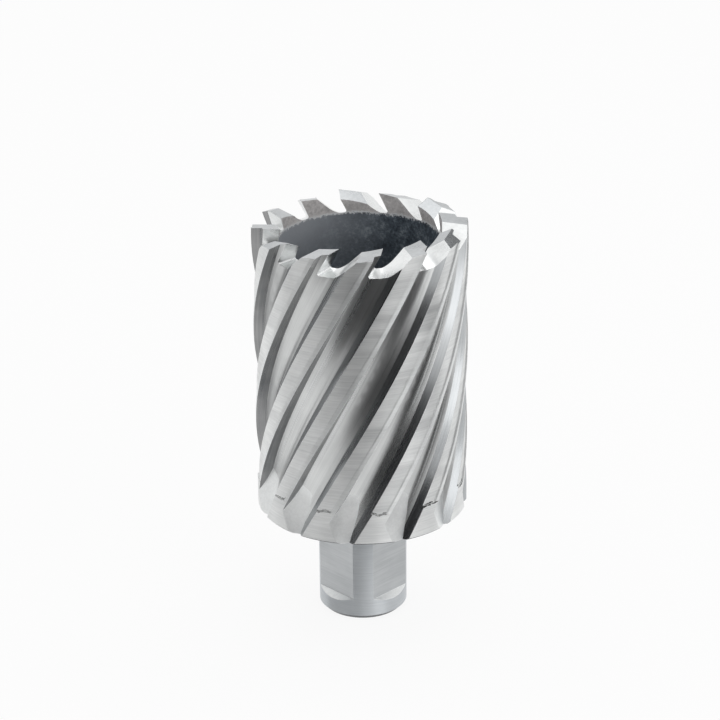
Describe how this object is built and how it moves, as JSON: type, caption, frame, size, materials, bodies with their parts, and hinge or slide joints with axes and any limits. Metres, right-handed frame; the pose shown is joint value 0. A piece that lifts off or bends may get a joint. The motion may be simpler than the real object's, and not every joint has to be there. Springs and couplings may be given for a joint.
{
  "type": "annular cutter",
  "caption": "Hollow cylindrical hole cutter with helical flutes, a toothed rim and a stepped shank with two set-screw flats.",
  "frame": {"origin": "centre of the shank's end face, on the cutter's axis", "axes": "+Z along the axis from the shank end to the teeth; -Y midway between the two shank flats"},
  "size_m": [0.045, 0.045, 0.0888],
  "materials": {
    "ground_steel": "brushed"
  },
  "bodies": {
    "root": {"annular_cutter": "ground_steel"}
  },
  "joints": []
}
